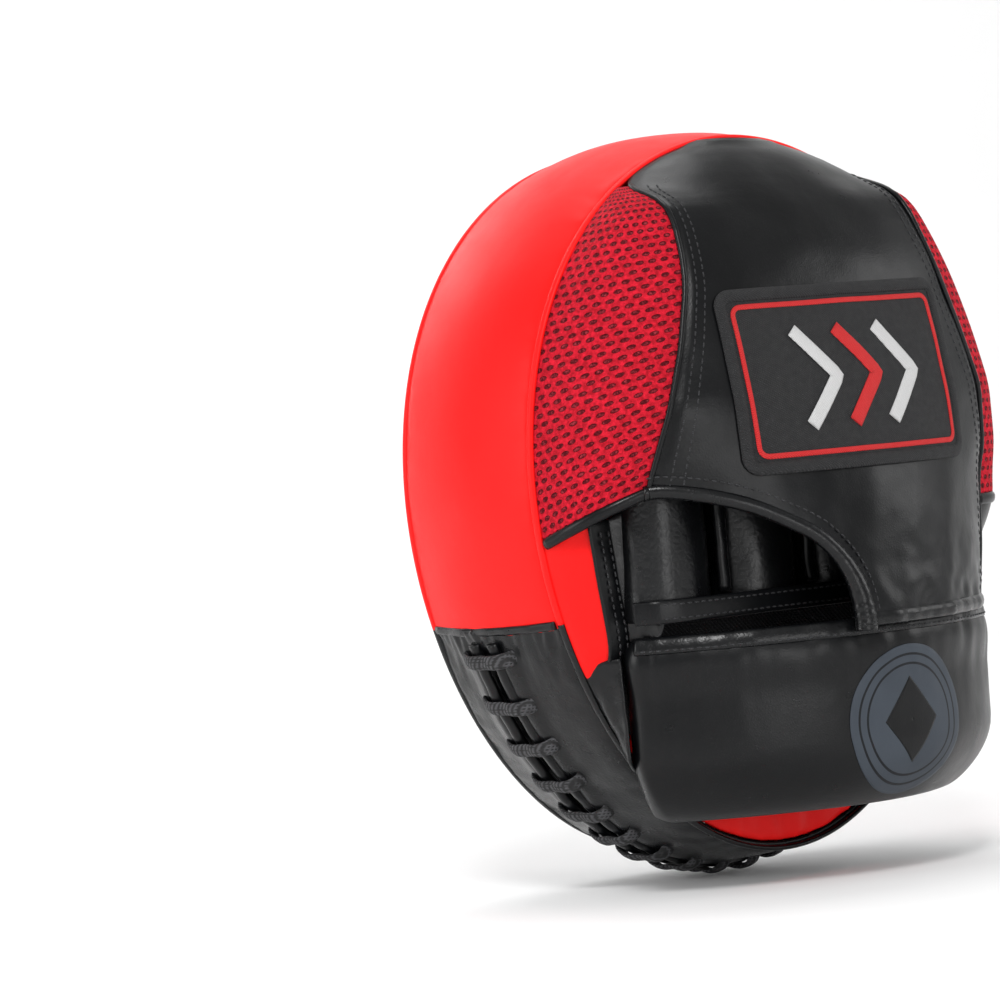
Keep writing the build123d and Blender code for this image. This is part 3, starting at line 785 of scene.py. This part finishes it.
# ---- finger stalls and the strap over their mouths ----
STALLS = {"index": 52.0, "middle": 66.0, "ring": 62.0, "little": 42.0}
for order, (finger, top) in enumerate(STALLS.items()):
    centre = -57.0 + 38.0 * order
    grid = []
    for t in np.linspace(0, 2 * math.pi, 72, endpoint=False):
        column = []
        for w in np.linspace(0, 1, 60):
            z = -38.0 + (top + 38.0) * w
            tip = math.sqrt(max(0.0, 1 - max(0.0, (w - 0.84) / 0.165) ** 2)) if w > 0.84 else 1.0
            x, d = 16.4 * tip * math.cos(t), 13.3 * tip * math.sin(t)
            p = np.array([centre + x, -(15.5 + d), z])
            crease = 0.35 * ripple((p[0], p[1], p[2] * 0.6), 8.0, order) * tip
            column.append(p + np.array([math.cos(t), -math.sin(t), 0]) * crease)
        grid.append(column)
    thick_sheet(f"stall_{finger}", grid, 1.3, (centre, -15.5, 0), GRAINED, "pad",
                [f"finger_stall_{finger}"], around=True)
for k in range(3):
    x = -38.0 + 38.0 * k
    path = [np.array([x, -(24.5 + 1.2 * ripple((x, 0, z), 9)), z]) for z in np.linspace(-31, 40, 40)]
    ring_solid(f"stall_ridge_{k}", sweep(path, [np.array([0, -1.0, 0])] * 40, 2.4, 1.6), BLACK, "pad",
               closed=False)

STRAP = [(-74, 20), (-67.5, 27), (-50, 30.6), (0, 31.2), (50, 30.6), (67.5, 27), (74, 20)]
strap_line = curve_through(STRAP, 120)
strap_rows = []
for x, d in strap_line:
    reach = math.hypot(x * 0.35, d)
    out = np.array([x * 0.35 / reach, -d / reach, 0])
    row = []
    for a in np.linspace(0, 2 * math.pi, 24, endpoint=False):
        c, s = math.cos(a), math.sin(a)
        height = 3.9 * (abs(s) ** 0.5) * (1 if s > 0 else -1)
        thick = 0.9 + 1.1 * (abs(c) ** 0.5) * (1 if c > 0 else -1)
        row.append(np.array([x, -d, -35.5]) + out * thick + np.array([0, 0, height]))
    strap_rows.append(row)
ring_solid("stall_strap", strap_rows, BLACK, "pad", ["mouth_strap"], closed=False)
for k, z in enumerate((-33.2, -37.8)):
    row = [np.array([x, -(d + 2.05), z]) for x, d in strap_line[12:-12]]
    stitch_row(f"strap_stitches_{k}", row, [np.array([0, -1.0, 0])] * len(row), THREAD, "pad")

# ---- red back panel, wrinkled below the palm lining ----
grid = []
for angle in RING[:-1:2]:
    row = []
    for f in np.linspace(0.98, 0.02, 60):
        x, z = egg(angle, -1.2)
        x, z = x * f, z * f
        bare = max(smooth(60, 72, abs(x)), smooth(-36, -46, z) if z < -36 else 0.0)
        bare = max(bare, 1.0 if z < -46 else 0.0)
        row.append(np.array([x, 0.25 - 1.1 * bare * abs(ripple((x, 0, z * 0.35), 7.0, 6.0)) * 2.6, z]))
    grid.append(row)
thick_sheet("back_leather", grid, 1.2, (0, 30, 0), RED, "pad", ["back_panel"], around=True)

# ---- wrist cuff ----
CUFF_ARCH = [(-76, 12), (-68.5, 24), (-56, 36.5), (-40, 47), (-20, 55.5), (0, 59.5), (20, 58.5),
             (40, 52.5), (60, 41.5), (70, 32), (75, 22), (76, 12)]
arch_line = curve_through(CUFF_ARCH, 161)
arch_tangent = np.gradient(arch_line, axis=0)
arch_out = np.stack([-arch_tangent[:, 1], arch_tangent[:, 0]], 1)
arch_out /= np.linalg.norm(arch_out, axis=1, keepdims=True)
CUFF_MID, CUFF_HALF, CUFF_DEEP = (WRIST_TOP + WRIST_BOTTOM) / 2, (WRIST_TOP - WRIST_BOTTOM) / 2, 13.0


def cuff_point(i, a, lift=0.0):
    """A point of the cuff: i is the place along the arch, a the angle round its section (0 is outside)."""
    c, s = math.cos(a), math.sin(a)
    end = 1 - max(0.0, (abs(i - 80) - 74) / 6.0) ** 2 * 0.75
    n = -CUFF_DEEP / 2 + (CUFF_DEEP / 2) * end * (abs(c) ** 0.62) * (1 if c > 0 else -1)
    z = CUFF_MID + CUFF_HALF * (abs(s) ** 0.52) * (1 if s > 0 else -1) * (0.9 + 0.1 * end)
    below = max(0.0, -84 - z)
    n -= 0.036 * below**1.85
    n += 2.0 * smooth(-66, -50, z) * (1 if c > 0 else 0.3)
    n += lift
    x, d = arch_line[i] + arch_out[i] * n
    x *= 1 - 0.0022 * below
    return np.array([x, -d, z])


def cuff_skin(i, a, lift=0.0):
    """The cuff's cover with gathers near its top seam and soft dents."""
    p = cuff_point(i, a, lift)
    out = np.array([arch_out[i][0], -arch_out[i][1], 0])
    front = max(0.0, math.cos(a))
    gather = math.exp(-abs(WRIST_TOP - p[2]) / 13.0)
    dent = 1.3 * gather * ripple((i * 1.2, 0, p[2] * 0.25), 5.0, 7.0) + 0.8 * ripple(p, 24.0, 8.0)
    return p + out * dent * front


CUFF_ANGLES = np.linspace(0, 2 * math.pi, 96, endpoint=False)
cuff_grid = [[cuff_skin(i, a) for a in CUFF_ANGLES] for i in range(161)]
cuff = ring_solid("cuff_leather", cuff_grid, BLACK, "cuff", ["cuff_cover", "cuff_foam"],
                  closed=False)
lining_angles = np.linspace(math.pi - 0.95, math.pi + 0.95, 30)
grid = [[cuff_point(i, a, -0.7) for a in lining_angles] for i in range(6, 155)]
thick_sheet("cuff_inner_lining", grid, 0.9, (0, -50, -75), CLOTH, "cuff", ["cuff_lining"])


def cuff_front(x, z, lift):
    """The cuff's outer face at a given x and z."""
    i = int(np.argmin(abs(arch_line[:, 0] - x)))
    i = max(1, min(159, i))
    s = (z - CUFF_MID) / CUFF_HALF
    a = math.asin(max(-1.0, min(1.0, (abs(s) ** (1 / 0.52)) * (1 if s > 0 else -1))))
    p, q, r = (cuff_skin(k, a, lift) for k in (i - 1, i, i + 1))
    points = sorted((p, q, r), key=lambda v: v[0])
    d = np.interp(x, [v[0] for v in points], [v[1] for v in points])
    return np.array([x, d, z])


ROUND_X, ROUND_Z, ROUND_R = 8.0, -79.0, 25.0
grid = [[cuff_front(ROUND_X + r * math.cos(t), ROUND_Z + r * math.sin(t), 0.35)
         for r in np.linspace(0.3, ROUND_R, 24)]
        for t in np.linspace(0, 2 * math.pi, 96, endpoint=False)]
thick_sheet("cuff_roundel_print", grid, 0.3, (8, 0, -76), SLATE_PRINT, "cuff",
            ["cuff_roundel"], around=True)
mark = []
for t in np.linspace(0, 2 * math.pi, 96, endpoint=False):
    reach = 11.5 / (abs(math.cos(t)) + abs(math.sin(t)))
    mark.append([cuff_front(ROUND_X + r * math.cos(t), ROUND_Z + 1.25 * r * math.sin(t), 0.5)
                 for r in np.linspace(0.2, reach, 14)])
thick_sheet("cuff_roundel_mark", mark, 0.3, (8, 0, -76), BLACK, "cuff", around=True)

# the cuff's top edge: a bound band, whip stitches where it is free and a second row below
top_band = [cuff_skin(i, math.radians(62), 0.35) for i in range(6, 155)]
top_out = [np.array([arch_out[i][0], -arch_out[i][1], 0.25]) for i in range(6, 155)]
ring_solid("cuff_top_band", sweep(top_band, top_out, 3.0, 0.9), SOFT_BLACK, "cuff",
           closed=False)
stitch_row("cuff_top_stitches", [cuff_skin(i, math.radians(52), 0.5) for i in range(8, 153)], top_out[2:-2],
           THREAD, "cuff", radius=0.45)
WHIP_PITCH, WHIP_END = 1.9, -12.0
free_edge = np.array([cuff_skin(i, math.radians(80), 0.2) for i in range(8, 90)])
along = np.concatenate([[0], np.cumsum(np.linalg.norm(np.diff(free_edge, axis=0), axis=1))])
whip_verts, whip_faces = [], []
for k, run in enumerate(np.arange(0, along[-1], WHIP_PITCH)):
    p = np.array([np.interp(run, along, free_edge[:, c]) for c in range(3)])
    if p[0] > WHIP_END:
        break
    i = int(np.argmin(abs(arch_line[:, 0] - p[0])))
    out = np.array([arch_out[i][0], -arch_out[i][1], 0])
    lean = np.array([0.7 + 0.3 * ripple((k, 0, 0), 1.3), 0, 0])
    loop = curve_through([p + out * 1.6 + np.array([0, 0, -2.6]), p + out * 0.9 + np.array([0, 0, -0.4]),
                          p - out * 0.5 + lean * 0.5 + np.array([0, 0, 0.5]), p - out * 2.6 + lean], 8)
    rows = np.array(sweep(loop, [np.array([0, 0, 1.0]) + out] * 8, 0.55, 0.45, 6))
    base = len(whip_verts)
    whip_verts.extend(rows.reshape(-1, 3))
    for a in range(7):
        for b in range(6):
            n = (b + 1) % 6
            whip_faces.append(tuple(base + v for v in (a * 6 + b, a * 6 + 6 + b, a * 6 + 6 + n, a * 6 + n)))
    whip_faces.append(tuple(base + b for b in range(6)))
    whip_faces.append(tuple(base + 42 + b for b in reversed(range(6))))
mesh_object("cuff_whip_stitches", whip_verts, whip_faces, THREAD, "cuff")

# lining where the palm presses; below the strap it widens and runs down behind the cuff as a dark sheet, painted
# shade over the wrist opening where the red back panel would show
palm = []
for z in np.linspace(-101, 84, 70):
    # wider below the strap, so the dark cloth paints the shade across the whole wrist opening
    reach = 58.0 + (min(77.0, egg_half_width(z) - 7.0) - 58.0) * (1 - smooth(-50, -42, z))
    palm.append([np.array([x, -2.0 - 0.5 * ripple((x, z, 0), 22.0), z]) for x in np.linspace(-reach, reach, 48)])
thick_sheet("palm_lining_and_painted_shade_cloth", palm, 0.8, (0, 30, 0), CLOTH, "pad", ["palm_lining"])

# ---- gussets from the pad to the cuff's ends ----
for side, tag in ((-1, "thumb"), (1, "little")):
    base_line = [np.array([side * (egg_half_width(z) - 0.8), -1.8, z]) for z in np.linspace(-52, -92, 30)]
    heights = np.linspace(-50, -95, 30)
    end_line = [np.array([side * (76.3 - 0.09 * max(0, -84 - z)), -(12.6 - 0.22 * max(0, -88 - z)), z])
                for z in heights]
    grid = []
    for v in np.linspace(0, 1, 16):
        row = []
        for k, (a, b) in enumerate(zip(base_line, end_line)):
            taper = 1 - smooth(21, 29.5, k)
            p = a + (b - a) * v * taper
            row.append(p + np.array([side, 0, 0]) * math.sin(math.pi * v) * taper * (0.9 + 1.5 * ripple(p, 7.0)))
        grid.append(row)
    gusset = thick_sheet(f"gusset_{tag}", grid, 1.2, (0, 0, -70), SOFT_BLACK, None,
                         [f"cuff_gusset_{tag}"])
    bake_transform(gusset)

# ---- badge sewn on the hood ----
BADGE_W, BADGE_H, BADGE_Z = 96.0, 62.0, 37.0


def on_hood(u, v, lift):
    """A point at (u, v) from the badge's centre, lying on the hood."""
    z = BADGE_Z + v
    return hood_skin(u / hood_row(z)[0], z, lift + 1.2)


def rounded(u, v, half_w, half_h, corner):
    """Pulls a point of a rectangle in to rounded corners."""
    over_u, over_v = abs(u) - (half_w - corner), abs(v) - (half_h - corner)
    if over_u > 0 and over_v > 0:
        reach = max(over_u, over_v) / math.hypot(over_u, over_v)
        u = math.copysign(half_w - corner + over_u * reach, u)
        v = math.copysign(half_h - corner + over_v * reach, v)
    return u, v


def patch(name, half_w, half_h, corner, lift, thick, material, nodes=(), centre=(0, 0)):
    """A flat piece of cloth laid on the hood."""
    grid = []
    for u in np.linspace(-half_w, half_w, max(8, int(half_w))):
        row = []
        for v in np.linspace(-half_h, half_h, max(8, int(half_h))):
            a, b = rounded(u, v, half_w, half_h, corner)
            row.append(on_hood(a + centre[0], b + centre[1], lift))
        grid.append(row)
    return thick_sheet(name, grid, thick, HOOD_INSIDE, material, "pad", nodes)


def frame_path(half_w, half_h, corner, lift):
    """A closed rounded rectangle on the hood, with its outward directions."""
    path = []
    for sx, sz, start in ((1, 1, 0), (-1, 1, 90), (-1, -1, 180), (1, -1, 270)):
        for a in range(start, start + 91, 15):
            t = math.radians(a)
            path.append((sx * (half_w - corner) + corner * math.cos(t),
                         sz * (half_h - corner) + corner * math.sin(t)))
    path.append(path[0])
    dense = []
    for (a, b), (c, d) in zip(path[:-1], path[1:]):
        steps = max(1, int(math.hypot(c - a, d - b) / 2))
        dense += [(a + (c - a) * k / steps, b + (d - b) * k / steps) for k in range(steps)]
    ups = [hood_normal(u / hood_row(BADGE_Z + v)[0], BADGE_Z + v) for u, v in dense]
    return [on_hood(u, v, lift) for u, v in dense], ups


patch("badge_field", BADGE_W / 2 - 3, BADGE_H / 2 - 3, 3, 1.0, 0.9, BADGE_BLACK, ["badge_cloth"])
path, ups = frame_path(BADGE_W / 2 - 2.3, BADGE_H / 2 - 2.3, 4, 0.9)
ring_solid("badge_rim", sweep(path, ups, 2.2, 1.0, closed=True), BADGE_BLACK, "pad",
           ["badge_border"])
path, ups = frame_path(BADGE_W / 2 - 6.2, BADGE_H / 2 - 6.2, 3, 1.15)
ring_solid("badge_red_line", sweep(path, ups, 0.9, 0.35, closed=True), BADGE_RED, "pad")
for k in range(3):
    chevron = [on_hood(-22 + 17 * k + 14 * (1 - abs(2 * f - 1)), -16 + 32 * f, 1.2)
               for f in np.linspace(0, 1, 33)]
    ups = [hood_normal(0.1, BADGE_Z)] * 33
    thread = BADGE_RED if k == 1 else BADGE_GREY
    ring_solid(f"badge_chevron_{k}", sweep(chevron, ups, 2.6, 0.4), thread, "pad",
               closed=False)

# ---- camera, light and floor ----
SENSOR, FOCAL_RATIO = 36.0, 4.566  # sensor width in mm, and focal length over sensor width
AZIMUTH, ELEVATION, ROLL, DISTANCE = math.radians(-40.81), math.radians(0.86), math.radians(-5.08), 1.5616
# the camera aims beside the palm point: the tangents of the angles to the picture's middle
AIM_RIGHT, AIM_UP = -0.056023, -0.0016864

back = Vector((math.sin(AZIMUTH) * math.cos(ELEVATION), -math.cos(AZIMUTH) * math.cos(ELEVATION),
               math.sin(ELEVATION)))
level = (-back).cross(Vector((0, 0, 1))).normalized()
upright = level.cross(-back).normalized()
right = math.cos(ROLL) * level + math.sin(ROLL) * upright
up = -math.sin(ROLL) * level + math.cos(ROLL) * upright
forward = (-back + right * AIM_RIGHT + up * AIM_UP).normalized()
right = (right - forward * right.dot(forward)).normalized()
up = right.cross(forward)
lens = bpy.data.cameras.new("camera")
lens.sensor_width = SENSOR
lens.lens = SENSOR * FOCAL_RATIO
lens.clip_end = 20
camera = bpy.data.objects.new("camera", lens)
camera.matrix_world = Matrix((
    (right.x, up.x, -forward.x, back.x * DISTANCE), (right.y, up.y, -forward.y, back.y * DISTANCE),
    (right.z, up.z, -forward.z, back.z * DISTANCE), (0, 0, 0, 1)))
bpy.context.scene.collection.objects.link(camera)
bpy.context.scene.camera = camera


def area_light(name, place, target, size, power):
    """A soft square studio light."""
    data = bpy.data.lights.new(name, "AREA")
    data.size, data.energy = size, power
    light = bpy.data.objects.new(name, data)
    light.location = place
    light.rotation_euler = (Vector(target) - Vector(place)).to_track_quat("-Z", "Y").to_euler()
    bpy.context.scene.collection.objects.link(light)


area_light("key_light", (-1.0, -1.1, 1.2), (0, 0, 0), 0.45, 19)
area_light("fill_light", (1.3, -0.9, 0.5), (0, 0, 0), 0.8, 6)
area_light("side_light", (-1.5, 0.4, 0.4), (0, 0, 0), 0.7, 7)
area_light("top_light", (0.2, 0.5, 1.6), (0, 0, 0), 0.9, 9)
area_light("low_light", (-0.2, -1.3, 0.0), (0, 0, -0.08), 0.5, 3)
area_light("backdrop_light", (-0.6, 1.6, 1.6), (-1.2, 3.0, 0.3), 1.4, 60)
world = bpy.data.worlds.new("studio")
world.use_nodes = True
world.node_tree.nodes["Background"].inputs[0].default_value = (1.0, 1.0, 1.0, 1)
world.node_tree.nodes["Background"].inputs[1].default_value = 0.5
bpy.context.scene.world = world
bpy.context.scene.view_settings.view_transform = "Standard"

FLOOR_Z, SWEEP_R, FAR = -0.1315, 0.6, 3.0
SWEEP_START, WALL_H = 1.2, 3.0
profile = [(-FAR, 0.0)]
profile += [(SWEEP_START + SWEEP_R * math.sin(t), SWEEP_R * (1 - math.cos(t)))
            for t in np.linspace(0, math.pi / 2, 20)]
profile.append((SWEEP_START + SWEEP_R, WALL_H))
turn = Vector((back.x, back.y, 0)).normalized()
across = Vector((turn.y, -turn.x, 0))
floor_mesh = bpy.data.meshes.new("studio_floor")
floor_verts = [tuple(-turn * d + across * w + Vector((0, 0, FLOOR_Z + h)))
               for d, h in profile for w in (-FAR, FAR)]
floor_faces = [(2 * k, 2 * k + 1, 2 * k + 3, 2 * k + 2) for k in range(len(profile) - 1)]
floor_mesh.from_pydata(floor_verts, [], floor_faces)
floor_mesh.polygons.foreach_set("use_smooth", [True] * len(floor_mesh.polygons))
floor_nodes = Nodes("studio_paper")
floor_nodes.link(floor_nodes.ramp(floor_nodes.noise(3.0), 0.3, 0.7, (0.9, 0.9, 0.9), (0.93, 0.93, 0.93)),
                 floor_nodes.shader.inputs["Base Color"])
floor_nodes.shader.inputs["Roughness"].default_value = 0.9
floor_mesh.materials.append(floor_nodes.material)
floor = bpy.data.objects.new("studio_floor", floor_mesh)
bpy.context.scene.collection.objects.link(floor)
